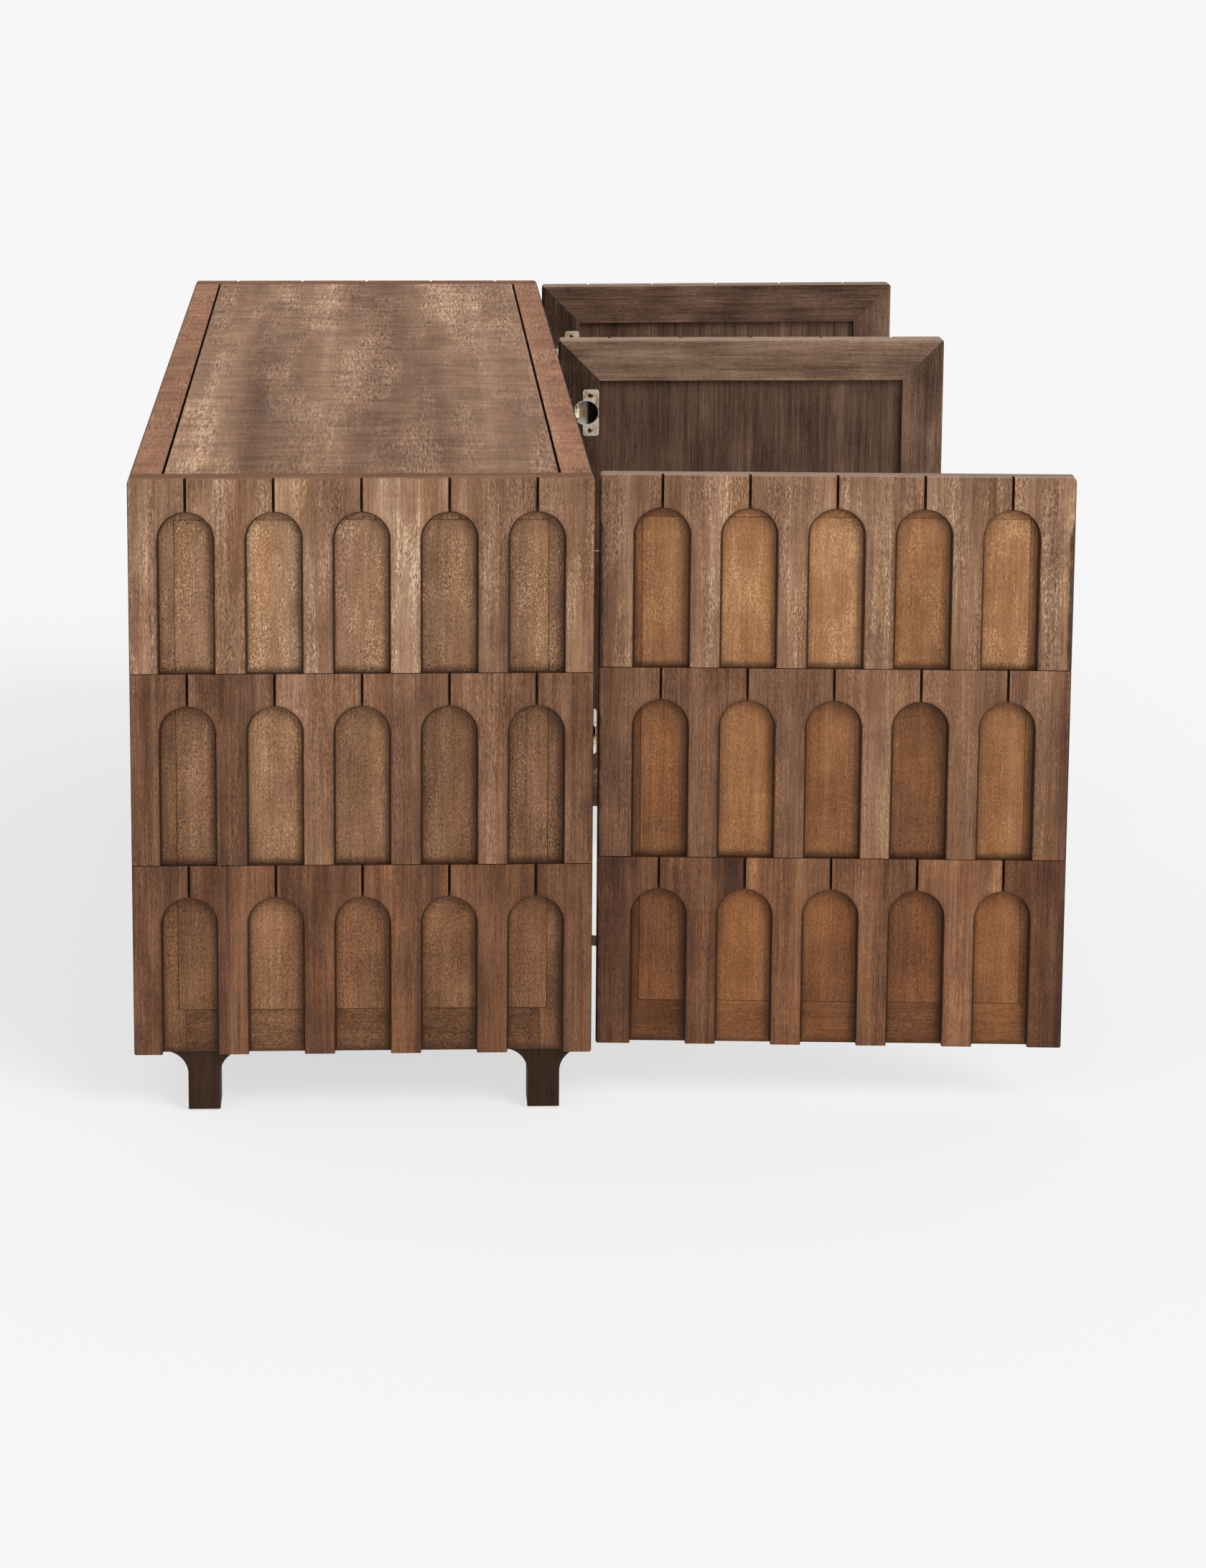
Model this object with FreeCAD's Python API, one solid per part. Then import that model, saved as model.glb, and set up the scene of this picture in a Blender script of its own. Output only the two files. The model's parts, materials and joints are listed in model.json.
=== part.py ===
import FreeCAD, Part
import math
import os
from FreeCAD import Vector

# Three-door sideboard. Its ends and doors are clad in thick carved tiles whose gaps make rows of arches.
# Millimetres, +Z up. While it is built, x runs from the near end, y from the carcass front to the back
# and z from the floor. At the end the whole is moved so that the origin is at the middle of the floor
# that the piece covers with its doors standing open.

# Carcass
length = 1587.0
depth = 513.0
body_height = 657.0
leg_height = 70.0

# Carved tiles, the same on the ends and on the doors
row_count = 3
arch_pitch = 96.6
least_edge_column = 12.0
arch_radius = 31.3
slit_width = 3.0
head_height = 37.0
tile_thickness = 10.5
tile_edge_radius = 3.0
row_gap = 0.8
top_corner_radius = 5.0
bottom_corner_radius = 2.5

# End frames
end_frame_thickness = 25.5
end_stile_width = 50.0
end_top_rail = 47.0
end_bottom_rail = 49.0
end_board_thickness = 14.0
tenon_length = 20.0
tenon_thickness = 8.0
tenon_shoulder = 6.0

# Tongues in rabbets and grooves
rabbet_width = 8.0
rabbet_depth = 3.0
joint_clearance = 0.2

# Top and bottom
top_thickness = 25.0
top_rail_width = 36.0
top_groove = 3.0
top_end_groove = 0.8
top_tongue = 8.0
top_tongue_thickness = 8.0
bottom_thickness = 25.0
bottom_rail_width = 104.0
cleat_size = 18.0

# Back boards, divider, shelves
back_thickness = 8.0
back_inset = 9.0
back_groove = 6.0
divider_thickness = 24.0
shelf_thickness = 20.0
shelf_share = 0.5
shelf_clearance = 1.0
shelf_cleat_height = 25.0

# Hinge posts: upright battens that carry the hinge plates
post_depth = 90.0
post_thickness = 18.0
post_setback = 3.0

# Doors
edge_reveal = 1.5
door_drop = 1.5
door_frame_thickness = 16.5
door_member_width = 56.0
door_board_thickness = 8.5
door_edge_radius = 3.0
door_back_gap = 3.1
rest_angles = (93.2, 90.2, 92.4)
widest_angle = 105.0

# Concealed hinges
link_share = -0.454
cup_from_edge = 37.2
cup_radius = 17.4
cup_depth = 12.7
cup_wall = 1.0
cup_clearance = 0.1
flange_length = 64.0
flange_width = 22.0
flange_offset = 6.4
flange_thickness = 1.2
flange_corner = 4.0
flange_hole_spacing = 48.0
flange_hole_radius = 2.3
flange_notch_clearance = 1.0
hinge_inset_top = 100.0
hinge_inset_bottom = 108.0
door_pin_from_edge = 25.8
door_pin_depth = 3.9
fixed_pin_from_post = 19.7
fixed_pin_behind_front = 11.1
pin_radius = 1.25
pin_clearance = 0.05
eye_radius = 2.5
arm_thickness = 2.5
arm_width = 12.0
arm_knee_from_pin = 6.3
arm_knee_depth = 5.9
arm_heel_forward = 3.8
arm_heel_outward = 4.3
cheek_thickness = 1.5
cheek_gap = 0.6
cheek_boss_radius = 4.5
cheek_reach = 22.0
plate_thickness = 2.0
plate_length = 48.0
plate_height = 50.0
plate_setback = 32.0
fixed_arm_rise = 7.0

# Door bumpers
bumper_radius = 5.0
bumper_height = 2.4
bumper_from_edge = 34.0
bumper_from_rim = 12.5

# Legs
leg_width = 36.0
leg_flare = 27.0
leg_board = 44.0
leg_from_end = 12.0
leg_from_front = 35.2
leg_from_back = 59.7
leg_edge_radius = 1.5
glide_radius = 12.0
glide_height = 2.0
bolt_radius = 4.0
bolt_in_leg = 45.0
bolt_clearance = 0.3
bolt_recess_radius = 9.5
bolt_recess_depth = 11.0
bolt_recess_margin = 1.0
bolt_tip = 1.5
washer_radius = 9.0
washer_thickness = 1.6
nut_width = 13.0
nut_height = 6.5

# How far a cutting shape runs past what it cuts
overrun = 2.0

end_thickness = tile_thickness + end_frame_thickness
door_thickness = tile_thickness + door_frame_thickness
door_width = (length - 6 * edge_reveal) / 3
door_height = body_height - door_drop
floor_of_body = leg_height
top_of_body = leg_height + body_height
underside_of_top = top_of_body - top_thickness
top_of_bottom = floor_of_body + bottom_thickness
front_of_back = depth - back_inset - back_thickness
divider_line = length - 2 * edge_reveal - door_width
post_face = end_thickness + post_thickness


def box(x0, y0, z0, x1, y1, z1):
    return Part.makeBox(x1 - x0, y1 - y0, z1 - z0, Vector(x0, y0, z0))


def prism(points, direction):
    """A closed outline of straight runs, pushed along a direction."""
    return Part.Face(Part.makePolygon(points + points[:1])).extrude(direction)


def upright(radius, x, y, z0, z1):
    return Part.makeCylinder(radius, z1 - z0, Vector(x, y, z0), Vector(0, 0, 1))


def fuse(shapes):
    whole = shapes[0]
    for shape in shapes[1:]:
        whole = whole.fuse(shape)
    return whole.removeSplitter()


def turned(shape, degrees, centre):
    copy = shape.copy()
    copy.rotate(centre, Vector(0, 0, 1), degrees)
    return copy


def moved(shape, x, y, z):
    copy = shape.copy()
    copy.translate(Vector(x, y, z))
    return copy


def filleted(shape, radius, wanted):
    """Rounds the edges that the test picks."""
    edges = [edge for edge in shape.Edges if wanted(edge)]
    return shape.makeFillet(radius, edges)


def lies_at(edge, **place):
    """True when the whole edge lies at the given x, y or z."""
    bounds = edge.BoundBox
    low = {"x": bounds.XMin, "y": bounds.YMin, "z": bounds.ZMin}
    high = {"x": bounds.XMax, "y": bounds.YMax, "z": bounds.ZMax}
    near = joint_clearance / 10
    return all(abs(low[k] - v) < near and abs(high[k] - v) < near for k, v in place.items())


# Carved tiles

def arch_places(width):
    """Middles of the arches: as many as fit with at least a narrow column left at each edge."""
    spare = width - 2 * (arch_radius + least_edge_column)
    count = math.floor(spare / arch_pitch) + 1
    first = (width - (count - 1) * arch_pitch) / 2
    return [first + i * arch_pitch for i in range(count)]


def tile_outline(left, right, left_arch, right_arch, bottom, top):
    """Outline of one tile in x and z: a head, two hollow shoulders and a column."""
    crown = top - head_height
    spring = crown - arch_radius
    start = math.sqrt(arch_radius ** 2 - (slit_width / 2) ** 2)
    lean = math.sqrt(0.5) * arch_radius
    edges = []
    at = Vector(left, 0, top)

    def line(x, z):
        nonlocal at
        to = Vector(x, 0, z)
        edges.append(Part.makeLine(at, to))
        at = to

    def shoulder(arch, side, to_column):
        nonlocal at
        high = Vector(arch + side * slit_width / 2, 0, spring + start)
        middle = Vector(arch + side * lean, 0, spring + lean)
        low = Vector(arch + side * arch_radius, 0, spring)
        ends = (high, low) if to_column else (low, high)
        edges.append(Part.Arc(ends[0], middle, ends[1]).toShape())
        at = ends[1]

    line(right, top)
    if right_arch is None:
        line(right, bottom)
    else:
        line(right, spring + start)
        shoulder(right_arch, -1, True)
        line(right_arch - arch_radius, bottom)
    if left_arch is None:
        line(left, bottom)
    else:
        line(left_arch + arch_radius, bottom)
        line(left_arch + arch_radius, spring)
        shoulder(left_arch, 1, False)
    line(left, top)
    return Part.Face(Part.Wire(edges))


def tile_row(width, bottom, top):
    """One row of tiles, carved face at y zero, on a panel of the given width."""
    arches = arch_places(width)
    tiles = []
    for left_arch, right_arch in zip([None] + arches, arches + [None]):
        left = 0 if left_arch is None else left_arch + slit_width / 2
        right = width if right_arch is None else right_arch - slit_width / 2
        face = tile_outline(left, right, left_arch, right_arch, bottom, top)
        tile = face.extrude(Vector(0, tile_thickness, 0))
        if left_arch is None or right_arch is None:
            edge = left if left_arch is None else right
            tile = filleted(tile, tile_edge_radius, lambda e, x=edge: lies_at(e, x=x, y=0))
        tiles.append(tile)
    return tiles


def tile_rows(width, bottom, height):
    """The rows by name, from the top down."""
    row = height / row_count
    rows = {}
    for i, name in enumerate(("top", "middle", "bottom")[:row_count]):
        top = bottom + height - i * row
        low = top - row
        rows[name] = tile_row(width, low if i == row_count - 1 else low + row_gap, top)
    return rows


def rounded_panel(width, bottom, top, thickness):
    """A block the size of a door or an end, its four corners rounded, that the pieces are trimmed to."""
    block = box(0, 0, bottom, width, thickness, top)
    for z, radius in ((top, top_corner_radius), (bottom, bottom_corner_radius)):
        block = filleted(block, radius, lambda e, z=z: any(lies_at(e, x=x, z=z) for x in (0, width)))
    return block


def trimmed(pieces, block):
    return {name: [solid.common(block) for solid in solids] for name, solids in pieces.items()}


# A board held by a thin tongue around it, in a rabbet open towards the tiles

def rabbeted_board(x0, x1, z0, z1, outer, thickness):
    core = box(x0, outer, z0, x1, outer + thickness, z1)
    hold = rabbet_width - joint_clearance
    tongue = box(x0 - hold, outer, z0 - hold, x1 + hold, outer + rabbet_depth - joint_clearance, z1 + hold)
    return fuse([core, tongue])


def rabbet_cut(x0, x1, z0, z1, outer):
    return box(x0 - rabbet_width, outer - overrun, z0 - rabbet_width,
               x1 + rabbet_width, outer + rabbet_depth, z1 + rabbet_width)


# End frames, built flat like a door: x from the left edge as seen from outside, y inward from the carved face

def end_pieces():
    """The frame's members show at their named widths outside. Inside they are wider by the rabbet."""
    z0 = floor_of_body
    z1 = top_of_body
    outer = tile_thickness
    inner = end_thickness
    left = end_stile_width + rabbet_width
    right = depth - left
    low = z0 + end_bottom_rail + rabbet_width
    high = z1 - end_top_rail - rabbet_width
    tenon_middle = (outer + rabbet_depth + inner) / 2

    def rail(bottom, top):
        body = box(left, outer, bottom, right, inner, top)
        tenon = box(left - tenon_length, tenon_middle - tenon_thickness / 2, bottom + tenon_shoulder,
                    right + tenon_length, tenon_middle + tenon_thickness / 2, top - tenon_shoulder)
        return fuse([body, tenon])

    def mortise(bottom, top):
        grow = joint_clearance
        return box(left - tenon_length - grow, tenon_middle - tenon_thickness / 2 - grow,
                   bottom + tenon_shoulder - grow, right + tenon_length + grow,
                   tenon_middle + tenon_thickness / 2 + grow, top - tenon_shoulder + grow)

    rabbet = rabbet_cut(left, right, low, high, outer)
    rails = [rail(z0, low).cut(rabbet), rail(high, z1).cut(rabbet)]
    mortises = [mortise(z0, low), mortise(high, z1)]
    stiles = []
    for x0, x1 in ((0, left), (right, depth)):
        stile = box(x0, outer, z0, x1, inner, z1).cut(rabbet)
        for hole in mortises:
            stile = stile.cut(hole)
        stiles.append(stile)
    board = rabbeted_board(left, right, low, high, outer, end_board_thickness)
    pieces = {"stiles": stiles, "rails": rails, "board": [board]}
    for name, tiles in tile_rows(depth, z0, body_height).items():
        pieces["tiles_" + name] = tiles
    return trimmed(pieces, rounded_panel(depth, z0, z1, inner))


def place_near_end(shape):
    return moved(turned(shape, -90, Vector(0, 0, 0)), 0, depth, 0)


def place_far_end(shape):
    return moved(turned(shape, 90, Vector(0, 0, 0)), length, 0, 0)


# Top, bottom, back, divider, shelves

def top_board_parts():
    """The middle board of the top, and the tongue that runs round it."""
    x0 = end_thickness + top_end_groove
    x1 = length - end_thickness - top_end_groove
    y0 = top_rail_width + top_groove
    y1 = depth - top_rail_width - top_groove
    core = box(x0, y0, underside_of_top, x1, y1, top_of_body)
    z0 = (underside_of_top + top_of_body - top_tongue_thickness) / 2
    tongue = (end_thickness - top_tongue, top_rail_width - top_tongue, z0,
              length - end_thickness + top_tongue, depth - top_rail_width + top_tongue, z0 + top_tongue_thickness)
    return core, tongue


def grown(bounds, clearance):
    x0, y0, z0, x1, y1, z1 = bounds
    return box(x0 - clearance, y0 - clearance, z0 - clearance,
               x1 + clearance, y1 + clearance, z1 + clearance)


def back_bounds():
    """The two back boards, which meet behind the divider."""
    y0 = front_of_back
    y1 = front_of_back + back_thickness
    z0 = top_of_bottom - back_groove
    z1 = underside_of_top + back_groove
    left = end_thickness - back_groove
    right = length - end_thickness + back_groove
    return [(left, y0, z0, divider_line, y1, z1), (divider_line, y0, z0, right, y1, z1)]


def top_rails():
    rails = []
    for y0, y1, edge in ((0, top_rail_width, 0), (depth - top_rail_width, depth, depth)):
        rail = box(end_thickness, y0, underside_of_top, length - end_thickness, y1, top_of_body)
        rails.append(filleted(rail, top_corner_radius, lambda e, y=edge: lies_at(e, y=y, z=top_of_body)))
    return rails


def bottom_rails():
    x0 = end_thickness
    x1 = length - end_thickness
    return [box(x0, 0, floor_of_body, x1, bottom_rail_width, top_of_bottom),
            box(x0, depth - bottom_rail_width, floor_of_body, x1, depth, top_of_bottom)]


def bottom_board_bounds():
    z0 = (floor_of_body + top_of_bottom - top_tongue_thickness) / 2
    return (end_thickness, bottom_rail_width - top_tongue, z0, length - end_thickness,
            depth - bottom_rail_width + top_tongue, z0 + top_tongue_thickness)


def bottom_board():
    core = box(end_thickness, bottom_rail_width, floor_of_body, length - end_thickness,
               depth - bottom_rail_width, top_of_bottom)
    return fuse([core, box(*bottom_board_bounds())])


def divider():
    half = divider_thickness / 2
    return box(divider_line - half, 0, top_of_bottom, divider_line + half, front_of_back, underside_of_top)


def end_post():
    return box(end_thickness, post_setback, top_of_bottom, post_face, post_depth, underside_of_top)


def middle_post():
    """Beside the divider, so that the hinges of the middle door sit as those at the ends do."""
    return box(divider_line - post_face, post_setback, top_of_bottom, divider_line - divider_thickness / 2,
               post_depth, underside_of_top)


def bays():
    """The two spaces inside, from left to right."""
    half = divider_thickness / 2
    return [(end_thickness, divider_line - half), (divider_line + half, length - end_thickness)]


def shelf_level():
    return top_of_bottom + shelf_share * (underside_of_top - top_of_bottom) - shelf_thickness / 2


def shelves():
    z0 = shelf_level()
    return [box(x0 + shelf_clearance, post_depth + shelf_clearance, z0, x1 - shelf_clearance,
                front_of_back - shelf_clearance, z0 + shelf_thickness) for x0, x1 in bays()]


def shelf_cleats():
    z1 = shelf_level()
    z0 = z1 - shelf_cleat_height
    cleats = []
    for left, right in bays():
        for x0, x1 in ((left, left + cleat_size), (right - cleat_size, right)):
            cleats.append(box(x0, post_depth, z0, x1, front_of_back, z1))
    return cleats


def top_cleats():
    z1 = underside_of_top
    z0 = z1 - cleat_size
    return [box(end_thickness, post_depth, z0, end_thickness + cleat_size, front_of_back, z1),
            box(length - end_thickness - cleat_size, post_depth, z0, length - end_thickness,
                front_of_back, z1)]


# Legs: a board whose two sides flare out under the carcass in hollow quarter rounds

def leg(x0, y0):
    y1 = y0 + leg_width
    z1 = floor_of_body
    lean = leg_flare * (1 - math.sqrt(0.5))
    foot = glide_height
    knee = z1 - leg_flare
    left_arc = Part.Arc(Vector(x0, y0, knee), Vector(x0, y0 - lean, z1 - lean), Vector(x0, y0 - leg_flare, z1))
    right_arc = Part.Arc(Vector(x0, y1 + leg_flare, z1), Vector(x0, y1 + lean, z1 - lean), Vector(x0, y1, knee))
    edges = [Part.makeLine(Vector(x0, y0, foot), Vector(x0, y0, knee)),
             left_arc.toShape(),
             Part.makeLine(Vector(x0, y0 - leg_flare, z1), Vector(x0, y1 + leg_flare, z1)),
             right_arc.toShape(),
             Part.makeLine(Vector(x0, y1, knee), Vector(x0, y1, foot)),
             Part.makeLine(Vector(x0, y1, foot), Vector(x0, y0, foot))]
    body = Part.Face(Part.Wire(edges)).extrude(Vector(leg_board, 0, 0))
    upright_edges = [(x, y) for x in (x0, x0 + leg_board) for y in (y0, y1)]
    body = filleted(body, leg_edge_radius, lambda e: any(
        lies_at(e, x=x, y=y) for x, y in upright_edges))
    return body


def leg_places():
    """Name, lowest x and lowest y of each leg's straight part."""
    near = leg_from_end
    far = length - leg_from_end - leg_board
    front = leg_from_front
    back = depth - leg_from_back - leg_width
    return {"near_front": (near, front), "near_back": (near, back),
            "far_front": (far, front), "far_back": (far, back)}


def leg_centre(place):
    return place[0] + leg_board / 2, place[1] + leg_width / 2


def bolt_place(place):
    """The bolt stands beside the end frame, so that its nut goes into the bottom rail."""
    from_end = end_thickness + bolt_recess_margin + bolt_recess_radius
    return from_end if place[0] < length / 2 else length - from_end, leg_centre(place)[1]


def bolt_seat():
    return top_of_bottom - bolt_recess_depth


def leg_bolt(place):
    """A hanger bolt up through the bottom rail, with its washer and nut sunk in the rail."""
    x, y = bolt_place(place)
    washer_top = bolt_seat() + washer_thickness
    stem = upright(bolt_radius, x, y, leg_height - bolt_in_leg, washer_top + nut_height + bolt_tip)
    washer = upright(washer_radius, x, y, bolt_seat(), washer_top)
    corners = []
    for i in range(6):
        angle = math.radians(60 * i)
        reach = nut_width / math.sqrt(3)
        corners.append(Vector(x + reach * math.cos(angle), y + reach * math.sin(angle), washer_top))
    nut = prism(corners, Vector(0, 0, nut_height))
    return fuse([stem, washer, nut])


def bolt_hole(place):
    x, y = bolt_place(place)
    hole = upright(bolt_radius + bolt_clearance, x, y, leg_height - bolt_in_leg - bolt_clearance,
                   top_of_bottom + overrun)
    return fuse([hole, upright(bolt_recess_radius, x, y, bolt_seat(), top_of_bottom + overrun)])


# Doors, built shut at a left-hand hinge: x from the hinge edge, y from the carved face inward

def door_member(x0, x1, z0, z1, corners):
    """A frame member with its ends cut on the mitre. Corners are its outline in x and z."""
    outer = tile_thickness
    inner = door_thickness
    bar = box(x0, outer, z0, x1, inner, z1)
    rim = {"x": (0, door_width), "z": (floor_of_body, floor_of_body + door_height)}
    bar = filleted(bar, door_edge_radius, lambda e: any(
        lies_at(e, y=inner, **{axis: place}) for axis in rim for place in rim[axis]))
    points = [Vector(x, outer - overrun, z) for x, z in corners]
    return bar.common(prism(points, Vector(0, inner - outer + 2 * overrun, 0)))


def door_frame():
    """Two stiles and two rails, mitred, with a rabbet for the board."""
    w = door_member_width
    z0 = floor_of_body
    z1 = floor_of_body + door_height
    right = door_width
    rabbet = rabbet_cut(w, right - w, z0 + w, z1 - w, tile_thickness)
    stiles = [door_member(0, w, z0, z1, [(0, z0), (w, z0 + w), (w, z1 - w), (0, z1)]),
              door_member(right - w, right, z0, z1,
                          [(right, z0), (right, z1), (right - w, z1 - w), (right - w, z0 + w)])]
    rails = [door_member(0, right, z0, z0 + w, [(0, z0), (right, z0), (right - w, z0 + w), (w, z0 + w)]),
             door_member(0, right, z1 - w, z1, [(0, z1), (w, z1 - w), (right - w, z1 - w), (right, z1)])]
    return [s.cut(rabbet) for s in stiles], [r.cut(rabbet) for r in rails]


def hinge_levels():
    return (floor_of_body + hinge_inset_bottom, floor_of_body + door_height - hinge_inset_top)


def cup_bore(level):
    inner = door_thickness
    return Part.makeCylinder(cup_radius + cup_clearance, cup_depth + cup_clearance + overrun,
                             Vector(cup_from_edge, inner - cup_depth - cup_clearance, level),
                             Vector(0, 1, 0))


def rounded_plate(x, z, width, height, corner, y0, y1):
    plate = box(x - width / 2, y0, z - height / 2, x + width / 2, y1, z + height / 2)
    sides = [(x + sx * width / 2, z + sz * height / 2) for sx in (-1, 1) for sz in (-1, 1)]
    return filleted(plate, corner, lambda e: any(lies_at(e, x=px, z=pz) for px, pz in sides))


def hinge_cup(level):
    """The pressed cup with its flange, and the pin across it that the arm turns on."""
    inner = door_thickness
    middle = Vector(cup_from_edge, inner - cup_depth, level)
    along = Vector(0, 1, 0)
    cup = Part.makeCylinder(cup_radius, cup_depth, middle, along)
    flange_at = cup_from_edge + flange_offset
    flange = rounded_plate(flange_at, level, flange_width, flange_length, flange_corner,
                           inner, inner + flange_thickness)
    notch = arm_width / 2 + flange_notch_clearance
    flange = flange.cut(box(cup_from_edge, inner, level - notch, flange_at + flange_width, door_thickness + overrun,
                            level + notch))
    hollow = Part.makeCylinder(cup_radius - cup_wall, cup_depth + overrun,
                               middle + Vector(0, cup_wall, 0), along)
    body = fuse([cup, flange]).cut(hollow)
    for side in (-1, 1):
        hole = Part.makeCylinder(flange_hole_radius, flange_thickness + 2 * overrun,
                                 Vector(flange_at, inner - overrun, level + side * flange_hole_spacing / 2), along)
        body = body.cut(hole)
    offset = cup_from_edge - door_pin_from_edge
    reach = math.sqrt((cup_radius - cup_wall / 2) ** 2 - offset ** 2)
    pin = upright(pin_radius, door_pin_from_edge, inner - door_pin_depth, level - reach, level + reach)
    return fuse([body, pin.common(cup)])


def door_pieces():
    stiles, rails = door_frame()
    for level in hinge_levels():
        stiles[0] = stiles[0].cut(cup_bore(level))
    w = door_member_width
    board = rabbeted_board(w, door_width - w, floor_of_body + w, floor_of_body + door_height - w,
                           tile_thickness, door_board_thickness)
    pieces = {"stiles": stiles, "rails": rails, "board": [board]}
    for name, tiles in tile_rows(door_width, floor_of_body, door_height).items():
        pieces["tiles_" + name] = tiles
    pieces = trimmed(pieces, rounded_panel(door_width, floor_of_body, floor_of_body + door_height, door_thickness))
    pieces["hinge_cups"] = [hinge_cup(level) for level in hinge_levels()]
    return pieces


# How a hinge moves: the cranked arm turns on the fixed pin, and the door turns on the arm's other end.
# The door turns one way while the arm turns back by a constant share, which carries the leaf clear.

door_origin = Vector(edge_reveal, -door_back_gap - door_thickness, 0)
fixed_pin = Vector(post_face + fixed_pin_from_post, fixed_pin_behind_front, 0)
shut_door_pin = door_origin + Vector(door_pin_from_edge, door_thickness - door_pin_depth, 0)


def turned_about(point, centre, degrees):
    placement = FreeCAD.Placement(Vector(0, 0, 0), FreeCAD.Rotation(Vector(0, 0, 1), degrees), centre)
    return placement.multVec(point)


def door_pin_at(angle):
    return turned_about(shut_door_pin, fixed_pin, -link_share * angle)


def open_door(shape, angle):
    """Swings a shut door, or a piece of it, to an angle."""
    pin = door_pin_at(angle)
    swung = turned(shape, -angle, shut_door_pin)
    return moved(swung, pin.x - shut_door_pin.x, pin.y - shut_door_pin.y, 0)


def swing_arm(level):
    """The cranked arm between the two pins, as it lies with the door shut."""
    heel = fixed_pin + Vector(-arm_heel_outward, -arm_heel_forward, 0)
    knee = shut_door_pin + Vector(arm_knee_from_pin, -arm_knee_depth, 0)
    points = [shut_door_pin, knee, heel, fixed_pin]
    z0 = level - arm_width / 2
    z1 = level + arm_width / 2
    parts = []
    for a, b in zip(points, points[1:]):
        run = b - a
        side = Vector(-run.y, run.x, 0)
        side.normalize()
        side.multiply(arm_thickness / 2)
        outline = [a + side, b + side, b - side, a - side]
        parts.append(prism([Vector(p.x, p.y, z0) for p in outline], Vector(0, 0, arm_width)))
    parts += [upright(arm_thickness / 2, p.x, p.y, z0, z1) for p in (knee, heel)]
    parts += [upright(eye_radius, p.x, p.y, z0, z1) for p in (shut_door_pin, fixed_pin)]
    arm = fuse(parts)
    for p in (shut_door_pin, fixed_pin):
        arm = arm.cut(upright(pin_radius + pin_clearance, p.x, p.y, z0 - overrun, z1 + overrun))
    return arm


def fixed_arm(level):
    """The plate on the post with its arm, two cheeks and the pin that the cranked arm turns on."""
    half = arm_width / 2 + cheek_gap + cheek_thickness
    plate_back = plate_setback + plate_length
    face = post_face + plate_thickness
    plate = box(post_face, plate_setback, level - plate_height / 2, face, plate_back, level + plate_height / 2)
    pin = fixed_pin
    outline = [(post_face, plate_setback), (post_face, plate_back), (face + fixed_arm_rise, plate_back),
               (pin.x + cheek_boss_radius, pin.y + cheek_reach), (pin.x + cheek_boss_radius, pin.y),
               (pin.x - cheek_boss_radius, pin.y)]
    z0 = level - half
    body = prism([Vector(x, y, z0) for x, y in outline], Vector(0, 0, 2 * half))
    boss = upright(cheek_boss_radius, pin.x, pin.y, z0, level + half)
    inside = half - cheek_thickness
    slot = box(post_face - overrun, pin.y - cheek_boss_radius - overrun, level - inside,
               pin.x + cheek_boss_radius + overrun, pin.y + cheek_reach - cheek_boss_radius, level + inside)
    axle = upright(pin_radius, pin.x, pin.y, z0, level + half)
    return fuse([plate, fuse([body, boss]).cut(slot), axle])


def at_hinge(shape, number):
    """Moves a piece built at the near end's hinge line to door 1, 2 or 3."""
    if number == 1:
        return shape
    line = divider_line if number == 2 else length
    return moved(shape.mirror(Vector(0, 0, 0), Vector(1, 0, 0)), line, 0, 0)


def point_at_hinge(point, number):
    if number == 1:
        return point
    line = divider_line if number == 2 else length
    return Vector(line - point.x, point.y, point.z)


def bumpers():
    """Small pads on the carcass front, near the free edge of each door."""
    shut_right = edge_reveal + door_width
    places = []
    for number in (1, 2, 3):
        for z in (floor_of_body + bumper_from_rim, top_of_body - bumper_from_rim):
            places.append(point_at_hinge(Vector(shut_right - bumper_from_edge, 0, z), number))
    return [Part.makeCylinder(bumper_radius, bumper_height, place, Vector(0, -1, 0)) for place in places]


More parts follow.
